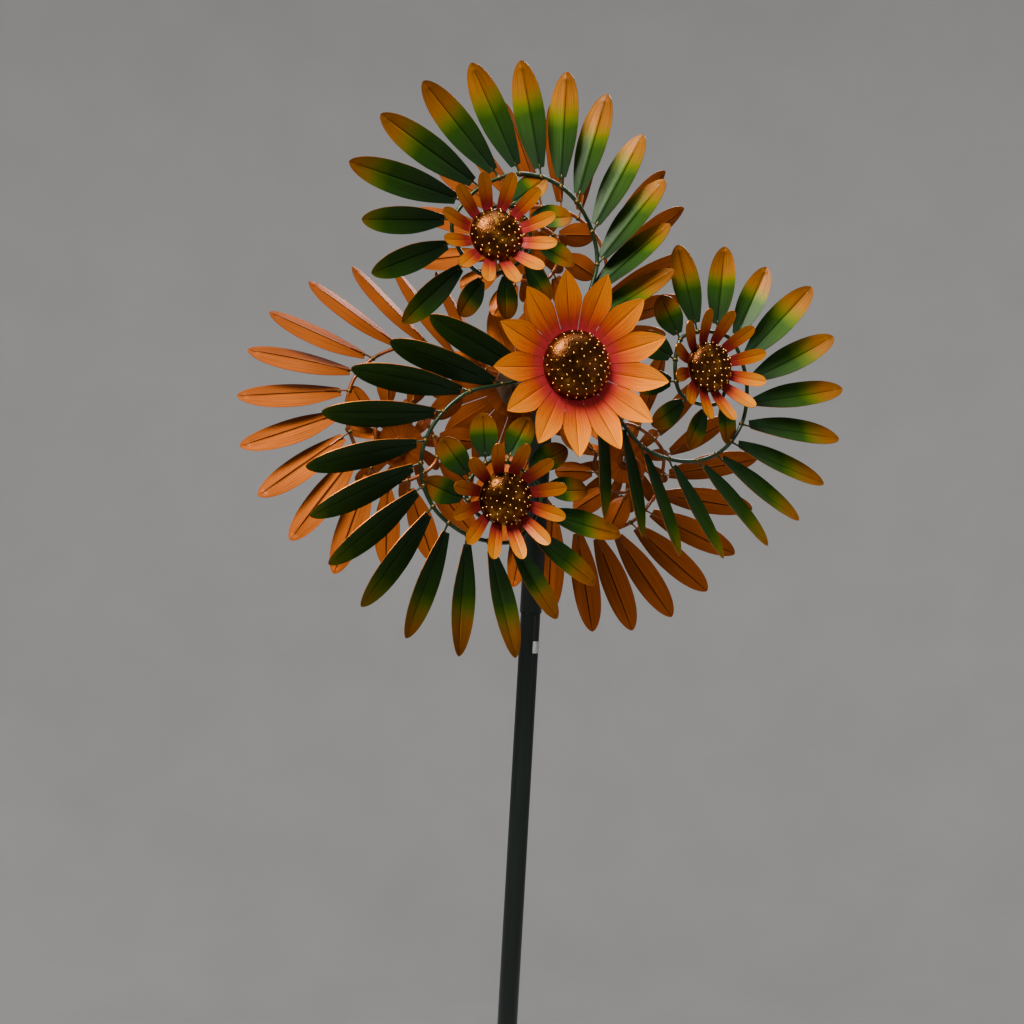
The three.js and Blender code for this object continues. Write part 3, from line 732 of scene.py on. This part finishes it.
def build_arm(side, name, turn):
    matrix = seat(side, PHASES[side] + turn)
    chance = random.Random(f"leaves {side} {name}")
    path = stem_path()
    roots = [point_at(path, leaf_place(i + 1)) for i in range(len(LEAVES))]
    leaves, stem = Shell(), Shell()
    stem.sweep(path, lambda share: WIRE, 16)
    for i, root in enumerate(roots):
        # The reach holds painted shade as well as the spray pattern.
        reach = SPRAY_AND_SHADE[name][i] if i < LAST_MEDIUM else SHORT_SPRAY
        leaf(leaves, i + 1, root, chance, reach)
        stalk(stem, i + 1, root)
    low, wide = ARM_PLANE - FOOT_PAD_UNDER + TOUCH, FOOT["radius"]
    pad = Shell().turned([
        (0, low), (wide - 0.5, low), (wide, low + 0.5), (wide - 0.6, low + 1.6), (3.4, low + 3.0),
        (0, low + 3.6),
    ], 32, 1)
    stem.merge(pad, Matrix.Translation(polar(FOOT["reach"], FOOT["bearing"])))
    edge, hole, thick = TAB["radius"], SMALL_FLOWER["hole"], TAB["thickness"]
    tab = Shell().turned([
        (hole, -thick), (edge - 0.4, -thick), (edge, -thick + 0.4), (edge, -0.4), (edge - 0.4, 0), (hole, 0),
    ], 48, 0, closed=True)
    weld = bend(*WELD_BEND)
    tab.blob(Vector((weld.x, weld.y, -thick - 0.4)), (4.2, 3.0, 1.8), 1)
    stem.merge(tab, flower_frame())
    body = BODIES[side]
    metals = [finish["stem_green" if side == FRONT else "stem_copper"], finish["braze"]]
    node = f"{side}_stem_arm_{name}"
    piece(f"{side}_arm_{name}_leaves", leaves, LEAF_PAINTS, body, node, matrix, 50)
    piece(f"{side}_arm_{name}_stem", stem, metals, body, node, matrix)


# -------- flowers
PETAL_ACROSS = mirrored([0.08, 0.22, 0.45, 0.7, 0.9, 1])
PETAL_ROWS = [
    0, 0.05, 0.11, 0.18, 0.26, 0.34, 0.42, 0.5, 0.58, 0.66, 0.74, 0.81, 0.87, 0.92, 0.955, 0.98, 0.993, 1,
]


def small_petal_half(share):
    """Half width of a small flower's petal: nearly straight sides and a round tip."""
    base, widest = SMALL_FLOWER["half"]
    swell = sin(pi / 2 * min(1, share / SMALL_FLOWER["widest"]))
    round_tip = max(0, (share - 0.6) / 0.4)
    return (base + (widest - base) * swell) * sqrt(max(0, 1 - round_tip ** 2.3))


def large_petal_half(share):
    """Half width of a centre petal: widens along the slits, then comes to a blunt point."""
    base, widest = LARGE_FLOWER["half"]
    at = LARGE_FLOWER["widest"]
    if share < at:
        return base + (widest - base) * share / at
    beyond = (share - at) / (1 - at)
    return widest * max(0.0, 1 - beyond ** 1.5) ** 0.8


def build_petals(name, flower, half_at, paints, matrix, body, node, seed):
    """One sheet of petals with the disc they spring from, cupped forwards."""
    shell = Shell()
    hole, rim, tip, cup, hold = (flower[key] for key in ("hole", "rim", "tip", "cup", "hold"))
    middle = PETAL_SHEET / 2
    plate = rim - 0.5
    disc = [(hole, 0.05), (hole, 0.75), (plate, 0.75), (plate, 0.05)]
    shell.turned(disc, 78, [EDGE, OUTSIDE, EDGE, INSIDE], closed=True)
    chance = random.Random(seed)
    for petal in range(flower["petals"]):
        bearing = petal * 360 / flower["petals"]
        along, across = polar(1, bearing), polar(1, bearing + 90)
        nod = chance.uniform(-1.6, -0.6)
        roll = chance.uniform(-0.5, 0.5)

        def surface(share, side):
            radius = hold + share * (tip - hold)
            out = max(0.0, (radius - rim) / (tip - rim))
            half = max(0.3, half_at(out)) if out > 0 else flower["half"][0] * radius / rim
            lift = cup * out ** PETAL_CURVE + nod * out
            lift += 0.13 * half * abs(side) ** 1.5 * min(1, 3 * out) + roll * side * min(out, 3 - 3 * out)
            groove = PETAL_GROOVE["depth"] * exp(-((side * half / PETAL_GROOVE["half_width"]) ** 2))
            lift -= groove * min(1, 6 * (1 - share)) * min(1, 8 * out)
            slope = cup * PETAL_CURVE * out ** (PETAL_CURVE - 1) / (tip - rim) if out > 0 else 0.0
            point = radius * along + side * half * across + up(middle + lift)
            return point, (up(1) - slope * along).normalized()

        def colour_at(share):
            return max(0.0, (hold + share * (tip - hold) - rim) / (tip - rim))

        blade(shell, PETAL_ROWS, PETAL_ACROSS, surface, PETAL_SHEET * 0.85, colour_at, petal)
    piece(name, shell, paints, body, node, matrix, 50)


def dome(radius, height, share):
    """A point of the dome's profile, from the crown at 0 to the rim at 1."""
    angle = share * pi / 2
    return radius * sin(angle), height * cos(angle)


def build_seed_head(name, flower, base, matrix, body, node, back):
    """A pressed dome with rings of raised studs; back is the profile of what is behind it."""
    shell = Shell()
    radius, height = flower["dome"], flower["height"]
    outside = [dome(radius - 0.5, height, i / 20) for i in range(19)]
    rim = [(radius - 0.35, 1.5), (radius, 1.0), (radius, 0.45), (radius - 0.3, 0.05), (radius - 1.2, 0.0)]
    inside = [dome(radius - 0.5 - DOME_SHEET, height - DOME_SHEET, i / 12) for i in range(11, 1, -1)]
    profile = [*outside, *rim, *inside, *back]
    shell.turned([(r, z + base) for r, z in profile], 96, 0, closed=profile[-1][0] > 0)
    apart = STUDS["apart"] + radius / SMALL_FLOWER["dome"]
    rows = 4 if flower is SMALL_FLOWER else 5
    for row in range(rows + 1):
        share = STUDS["first"] + (STUDS["last"] - STUDS["first"]) * row / rows
        ring_radius, ring_height = dome(radius - 0.5, height, share)
        count = max(4, round(2 * pi * ring_radius / apart))
        for k in range(count):
            bearing = 360 * (k + 0.5 * (row % 2)) / count
            centre = polar(ring_radius, bearing) + up(ring_height + base)
            steep = ring_height / height ** 2
            away = Vector((centre.x / radius ** 2, centre.y / radius ** 2, steep)).normalized()
            side = away.orthogonal().normalized()
            shell.blob(centre, STUDS["size"], 1, 12, 8, axes=(side, away.cross(side), away))
    piece(name, shell, [finish["seed_head"], finish["seed_stud"]], body, node, matrix)


def build_small_flower(side, name, turn):
    body = BODIES[side]
    matrix = seat(side, PHASES[side] + turn) @ flower_frame()
    sheet = matrix @ Matrix.Translation((0, 0, TOUCH)) @ turned_by(SMALL_FLOWER["turn"])
    node = f"{side}_petals_{name}"
    petals = f"{side}_flower_{name}_petals"
    seed = f"{side}{name}"
    build_petals(petals, SMALL_FLOWER, small_petal_half, SMALL_PETAL_PAINTS, sheet, body, node, seed)
    base = TOUCH + PETAL_SHEET + TOUCH
    crown = SMALL_FLOWER["height"] - DOME_SHEET
    nut_start = -TAB["thickness"] - TOUCH - FLOWER_NUT["thickness"]
    end = nut_start - 1
    back = [
        (2.4, crown - 0.1), (2.0, crown - 0.6), (2.0, end + 0.5 - base), (1.5, end - base), (0, end - base),
    ]
    head = f"{side}_flower_{name}_seed_head"
    build_seed_head(head, SMALL_FLOWER, base, matrix, body, f"{side}_seed_head_{name}", back)
    nut = Shell()
    hex_nut(nut, FLOWER_NUT["corner"], FLOWER_NUT["bore"], nut_start, FLOWER_NUT["thickness"])
    node = f"{side}_flower_nut_{name}"
    piece(f"{side}_flower_{name}_nut", nut, [finish["zinc_plate"]], body, node, matrix)


# -------- turned hardware
def hex_nut(shell, corner, bore, start, thickness):
    """A hexagonal nut with chamfered corners and a countersunk bore."""
    flat, steps = corner * cos(pi / 6), 48
    hexagon = [flat / cos(pi / 3 * (k % 8 / 8 - 0.5)) for k in range(steps)]
    outside = [(0, flat * 0.98), (0.12, corner), (0.88, corner), (1, flat * 0.98)]
    inside = [(1, bore * 1.18), (0.86, bore), (0.14, bore), (0, bore * 1.18)]
    rings = []
    for share, limit in outside + inside:
        rings.append(ring([min(limit, side) for side in hexagon], start + share * thickness))
    shell.loft(rings, "joined")


def chamfered(outer, bore, low, high, cut, bore_cut=None):
    """Profile of a ring with broken edges."""
    inner = bore_cut or cut
    return [
        (bore, low + inner), (bore + inner, low), (outer - cut, low), (outer, low + cut),
        (outer, high - cut), (outer - cut, high), (bore + inner, high), (bore, high - inner),
    ]


def along_axle(node):
    """Radius and near and far distances from the pole of a CAD node that is centred on the axle."""
    low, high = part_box(node)
    reach = sorted((abs(low.y), abs(high.y)))
    return (high.x - low.x) / 2 / MM, reach[0] / MM, reach[1] / MM


def ring_piece(node, metal, body, matrix, cut, sides=72):
    radius, near, far = along_axle(node)
    shell = Shell().turned(chamfered(radius, AXLE_BORE, near, far, cut), sides, closed=True)
    hardware(node, "turned", shell, metal, body, matrix)


def build_hub(side):
    body, matrix = BODIES[side], seat(side)
    for name, cut in (("spacer", 0.5), ("inner_washer", 0.3), ("outer_washer", 0.3)):
        ring_piece(f"{side}_{name}", "zinc_plate", "stand", matrix, cut)
    node = f"{side}_axle_nut"
    _, near, far = along_axle(node)
    shell = Shell()
    hex_nut(shell, AXLE_NUT["corner"], AXLE_NUT["bore"], near, far - near)
    hardware(node, "hex", shell, "zinc_plate", matrix=matrix)

    node = f"{side}_hub_sleeve"
    _, near, far = along_axle(node)
    wide, slim, bore, step = (HUB_NECK[key] for key in ("wide", "slim", "bore", "step"))
    shell = Shell().turned([
        (bore, near + 0.3), (bore + 0.3, near), (wide - 0.6, near), (wide, near + 0.6), (wide, step - 2.7),
        (wide, step - 0.4), (wide - 0.3, step), (slim, step), (slim, far - 0.4), (slim - 0.4, far),
        (bore + 0.3, far), (bore, far - 0.3),
    ], 72, closed=True)
    hardware(node, "turned", shell, "hub_paint", body, matrix)
    for name in ("inner_bush", "outer_bush"):
        ring_piece(f"{side}_{name}", "sintered_bronze", body, matrix, 0.25, 64)

    node = f"{side}_hub_disc"
    radius, near, far = along_axle(node)
    shell = Shell().turned(chamfered(radius - 0.1, DISC_BORE, near, far, 0.7, 0.2), 96, closed=True)
    weld_ring(shell, DISC_BORE + 0.6, far + 0.2, 1.2, 22, 1, f"disc {side}")
    hardware(node, "plate", shell, "hub_paint", body, matrix)


def build_centre_flower(side):
    body = BODIES[side]
    matrix = seat(side, PHASES[side])
    _, near, _ = along_axle(f"{side}_centre_seed_head")
    start = near - TOUCH - PETAL_SHEET
    sheet = matrix @ (Matrix.Translation((0, 0, start)) @ turned_by(LARGE_FLOWER["turn"]))
    name = f"{side}_centre_petals"
    build_petals(f"{name}_sheet", LARGE_FLOWER, large_petal_half, LARGE_PETAL_PAINTS, sheet, body, name, name)
    crown = LARGE_FLOWER["height"] - 2
    back = [(11, crown - 1.6), (11, 0.3), (10.7, 0), (9.1, 0), (8.8, 0.3), (8.8, crown), (0, crown)]
    name = f"{side}_centre_seed_head"
    build_seed_head(f"{name}_dome", LARGE_FLOWER, near, matrix, body, name, back)


# -------- pole, head and stake
def upright(node):
    """Radius and lowest and highest point of a CAD node that stands on the pole's axis."""
    low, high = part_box(node)
    return (high.x - low.x) / 2 / MM, low.z / MM, high.z / MM


def build_pole():
    """Three equal tubes. Each one's top is drawn down to a neck that enters the piece above."""
    for name, neck_radius in (("lower", POLE_NECK), ("middle", POLE_NECK), ("upper", HEAD_NECK)):
        radius, low, high = upright(f"pole_{name}")
        seam = high - NECK_LENGTH
        neck = neck_radius - TOUCH
        shell = Shell().turned([
            (radius - POLE_WALL, low + 0.3), (radius - 0.7, low), (radius - 0.35, low), (radius, low + 0.5),
            (radius, seam - 3.4), (radius - 0.15, seam - 2.4), (neck + 0.25, seam - 0.8), (neck, seam - 0.2),
            (neck, high - 0.5), (neck - 0.4, high), (neck - 0.9, high), (neck - POLE_WALL, high - 0.4),
            (neck - POLE_WALL, seam - 0.6), (radius - POLE_WALL, seam - 3.4),
        ], 96, closed=True)
        hardware(f"pole_{name}", "tube", shell, "powder_coat")


def build_clips():
    """Spring clips: a plate curled to the tube, with a pressed button in its middle."""
    rows, columns = 15, 13
    inner, outer, across = CLIP["inner"], CLIP["outer"], CLIP["half_width"] / CLIP_BUTTON["half_width"]
    half = degrees(CLIP["half_width"] / inner)
    for name in ("lower", "middle", "upper"):
        node = f"joint_clip_{name}"
        low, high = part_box(node)
        centre = (low + high) / 2 / MM
        middle = degrees(atan2(centre.y, centre.x))
        bottom, tall = low.z / MM, (high.z - low.z) / MM
        along = tall / 2 / CLIP_BUTTON["half_height"]
        rings = []
        for row in range(rows):
            rise = -1 + 2 * row / (rows - 1)
            narrow = 1 - 0.1 * max(0, abs(rise) - 0.8) / 0.2
            spots = []
            for column in range(columns):
                share = -1 + 2 * column / (columns - 1)
                button = CLIP_BUTTON["height"] * exp(-((share * across) ** 2) - (rise * along) ** 2)
                spots.append((middle + narrow * half * share, button))
            height = up(bottom + 0.05 + (rise + 1) / 2 * (tall - 0.1))
            outside = [polar(outer + button, bearing) + height for bearing, button in spots]
            inside = [polar(inner, bearing) + height for bearing, _ in reversed(spots)]
            rings.append(outside + inside)
        hardware(node, "spring", Shell().loft(rings, "thin"), "zinc_plate", crisp=30)


def build_tee():
    """The tail tube and the axle barrel, welded where they cross."""
    _, tail, _ = upright("head_tee")
    bore, radius, top = TAIL["bore"], TAIL["radius"], AXLE_HEIGHT - TAIL["below_axle"]
    shell = Shell().turned([
        (bore, tail + 0.3), (bore + 0.2, tail), (radius - 0.2, tail), (radius, tail + 0.3), (radius, top),
        (bore, top),
    ], 96, closed=True)
    thick, half = BARREL["radius"], BARREL["half"]
    shell.merge(Shell().turned(chamfered(thick, AXLE_BORE, -half, half, 0.6), 96, closed=True), seat(FRONT))
    chance = random.Random("tee weld")
    for step in range(72):
        spot = polar(radius + 0.4, 5 * step)
        drop = sqrt((thick + 0.4) ** 2 - spot.x ** 2)
        size = chance.uniform(1.15, 1.5)
        shell.blob(Vector((spot.x, spot.y, AXLE_HEIGHT - drop)), (size, size, size * 0.9), 0, 10, 6)
    hardware("head_tee", "welded", shell, "powder_coat", crisp=40)


def build_axle():
    """A rod whose ends are threaded for the nuts."""
    crest, root, pitch = THREAD["crest"], THREAD["root"], THREAD["pitch"]
    marks = []
    at = 0.8 - AXLE_HALF
    while at + pitch <= 8 - AXLE_HALF:
        marks += [(root, at + 0.1), (crest, at + pitch / 2), (crest, at + pitch / 2 + 0.15)]
        at += pitch
    end = [(0, -AXLE_HALF), (3.2, -AXLE_HALF), (3.9, 0.7 - AXLE_HALF), *marks, (4.0, 8.5 - AXLE_HALF)]
    shell = Shell().turned([*end, *((radius, -height) for radius, height in reversed(end))], 48)
    hardware("axle", "threaded", shell, "zinc_plate", matrix=seat(FRONT))


def build_axle_screw():
    _, low, high = upright("axle_screw")
    crest, root, pitch, socket = (AXLE_SCREW[key] for key in ("crest", "root", "pitch", "socket"))
    neck = AXLE_HEIGHT + BARREL["radius"] + TOUCH
    profile = [(0, low), (1.6, low), (2.3, low + 0.8)]
    at = low + 1
    while at + pitch < neck - pitch:
        profile += [(root, at), (crest, at + pitch / 2)]
        at += pitch
    shell = Shell().turned([*profile, (2.3, neck - 0.2), (2.3, neck), (0, neck)], 40)
    hex_nut(shell, AXLE_SCREW["corner"], socket, neck, high - neck)
    plug = socket + 0.1
    shell.turned([(0, neck + 0.2), (plug, neck + 0.2), (plug, high - 1.6), (0, high - 1.6)], 24)
    hardware("axle_screw", "hex", shell, "zinc_plate")


def build_step_plate():
    """A flat plate with round corners and broken edges, and the welds of the prongs and the socket."""
    low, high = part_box("step_plate")
    length, width, thickness = (high - low) / MM
    outline = []
    for sx, sy, start in ((1, 1, 0), (-1, 1, 90), (-1, -1, 180), (1, -1, 270)):
        middle = Vector((sx * (length / 2 - PLATE_CORNER), sy * (width / 2 - PLATE_CORNER), 0))
        outline += [middle + polar(PLATE_CORNER, start + 90 * k / 8) for k in range(9)]
    rings = []
    for inset, height in ((PLATE_CUT, 0), (0, PLATE_CUT), (0, thickness - PLATE_CUT), (PLATE_CUT, thickness)):
        along, across = 1 - 2 * inset / length, 1 - 2 * inset / width
        rings.append([Vector((p.x * along, p.y * across, height)) for p in outline])
    shell = Shell().loft(rings)
    for i, node in enumerate(PRONGS):
        welds = Shell()
        weld_ring(welds, 4.4, thickness + 0.1, 1.0, 12, 0, f"top {i}")
        weld_ring(welds, 4.6, -0.2, 1.2, 14, 0, f"under {i}")
        shell.merge(welds, Matrix.Translation((prong_place(node), 0, 0)))
    weld_ring(shell, SOCKET["radius"] + 0.2, thickness + 0.4, 1.5, 26, 0, "socket")
    hardware("step_plate", "pressed", shell, "powder_coat", crisp=40)


def prong_place(node):
    low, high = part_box(node)
    return (low.x + high.x) / 2 / MM


def build_prongs():
    """Round bars that taper to a point over their last 38 mm."""
    for node in PRONGS:
        low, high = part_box(node)
        bottom, top = low.z / MM, high.z / MM
        shell = Shell().turned([
            (0, bottom), (0.6, bottom + 0.3), (1.4, bottom + 6), (2.5, bottom + 17), (3.5, bottom + 29),
            (3.9, bottom + 35), (4, bottom + 38), (4, top - 0.5), (3.5, top), (0, top),
        ], 48)
        hardware(node, "bar", shell, "powder_coat", matrix=Matrix.Translation((prong_place(node), 0, 0)))


def build_socket():
    """The socket tube with the boss and the knurled thumb screw on its front."""
    _, bottom, top = upright("stake_socket")
    bore, radius = SOCKET["bore"], SOCKET["radius"]
    shell = Shell().turned([
        (bore, bottom + 0.2), (bore + 0.2, bottom), (radius - 0.4, bottom), (radius, bottom + 0.4),
        (radius, top - 0.9), (radius - 0.3, top - 0.2), (radius - 0.8, top), (bore + 0.6, top),
        (bore + 0.1, top - 0.3), (bore, top - 0.9),
    ], 96, closed=True)
    screw_low, screw_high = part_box("stake_thumb_screw")
    height = (screw_low.z + screw_high.z) / 2 / MM
    lift = Matrix.Translation((0, 0, height)) @ Matrix.Rotation(pi / 2, 4, "X")
    shell.merge(Shell().turned(chamfered(5.6, 3.3, 11.3, 12.25, 0.2), 48, closed=True), lift)
    hardware("stake_socket", "tube", shell, "powder_coat", crisp=40)

    end = -screw_low.y / MM
    screw = Shell().turned([(0, bore), (2.2, bore), (2.9, bore + 0.7), (2.9, KNOB_NECK), (0, KNOB_NECK)], 36)
    knob = [
        (KNOB_NECK, 7.4), (KNOB_NECK + 0.5, 8.5), (end - 0.8, 8.5), (end - 0.2, 7.9), (end, 7.0), (end, 5.6),
        (end - 0.7, 5.2),
    ]
    steps = KNOB_RIDGES * 4
    rings = []
    for along, radius in knob:
        knurl = 0.45 if radius > 8 else 0.15 if radius > 6 else 0.0
        ridges = [knurl * cos(2 * pi * k * KNOB_RIDGES / steps) for k in range(steps)]
        rings.append(ring([radius + ridge for ridge in ridges], along))
    screw.loft(rings)
    hardware("stake_thumb_screw", "knurled", screw, "zinc_plate", matrix=lift, crisp=30)


for side in SIDES:
    build_hub(side)
    build_centre_flower(side)
    for name, turn in ARM_TURNS.items():
        build_arm(side, name, turn)
        build_small_flower(side, name, turn)
build_pole()
build_clips()
build_tee()
build_axle()
build_axle_screw()
build_step_plate()
build_prongs()
build_socket()


# -------- stage, lights and camera
def build_stage():
    """A pale floor that curves up into a round wall, so that no edge shows from any side."""
    floor = cad_box[0].z / MM - 1
    reach, bend, wall = 4200, 1300, 7000
    angles = [pi / 2 * k / 16 for k in range(17)]
    sweep = [(reach + bend * sin(a), floor + bend * (1 - cos(a))) for a in angles]
    flat = [(radius, floor) for radius in (0, 600, 1800, 3000)]
    shell = Shell().turned([*flat, *sweep, (reach + bend, floor + wall)], 96)
    greys = [(0.3, (0.52, 0.516, 0.512)), (0.7, (0.55, 0.546, 0.542))]
    paper = mottled("studio_paper", 0, (3, 3), greys, rough=0.9)
    new_object("studio_floor", new_mesh("studio_floor", shell, [paper]))


def towards(azimuth, elevation):
    a, e = radians(azimuth), radians(elevation)
    return Vector((sin(a) * cos(e), -cos(a) * cos(e), sin(e)))


def soft_light(name, azimuth, elevation, distance, size, power, colour=(1, 1, 1)):
    """A square soft box that looks at the rotors."""
    back = towards(azimuth, elevation)
    data = bpy.data.lights.new(name, "AREA")
    data.size = size
    data.energy = power
    data.color = colour
    lamp = new_object(name, data)
    lamp.location = up(AXLE_HEIGHT * MM) + distance * back
    lamp.rotation_mode = "QUATERNION"
    lamp.rotation_quaternion = (-back).to_track_quat("-Z", "Y")
    lamp.visible_camera = False


def build_lights():
    soft_light("key_light", -46, 46, 2.4, 0.9, 132, (1.0, 0.97, 0.92))
    soft_light("top_light", 0, 80, 2.4, 1.4, 30)
    soft_light("fill_light", 40, 5, 3.2, 1.4, 7, (0.95, 0.97, 1.0))
    soft_light("rim_light", 150, 35, 3.0, 1.2, 70)
    world = bpy.data.worlds.new("studio_air")
    world.use_nodes = True
    set_inputs(world.node_tree.nodes["Background"], {"Color": (0.9, 0.92, 0.95, 1), "Strength": 0.32})
    bpy.context.scene.world = world


VIEW = {"azimuth": -18.0, "elevation": -2.71, "roll": 3.3, "distance": 1467, "right": -31.2, "up": -132.1}
LENS = 53.0


def build_camera():
    back = towards(VIEW["azimuth"], VIEW["elevation"])
    level, roll = polar(1, VIEW["azimuth"]), radians(VIEW["roll"])
    rise = back.cross(level)
    right = cos(roll) * level + sin(roll) * rise
    top = cos(roll) * rise - sin(roll) * level
    data = bpy.data.cameras.new("camera")
    data.sensor_width = 36
    data.lens = LENS
    data.clip_start = 0.05
    data.clip_end = 50
    camera = new_object("camera", data)
    place = VIEW["distance"] * back + VIEW["right"] * right + VIEW["up"] * top
    turn = Matrix((right, top, back)).transposed().to_4x4()
    camera.matrix_world = Matrix.Translation(MM * (up(AXLE_HEIGHT) + place)) @ turn
    bpy.context.scene.camera = camera


build_stage()
build_lights()
build_camera()
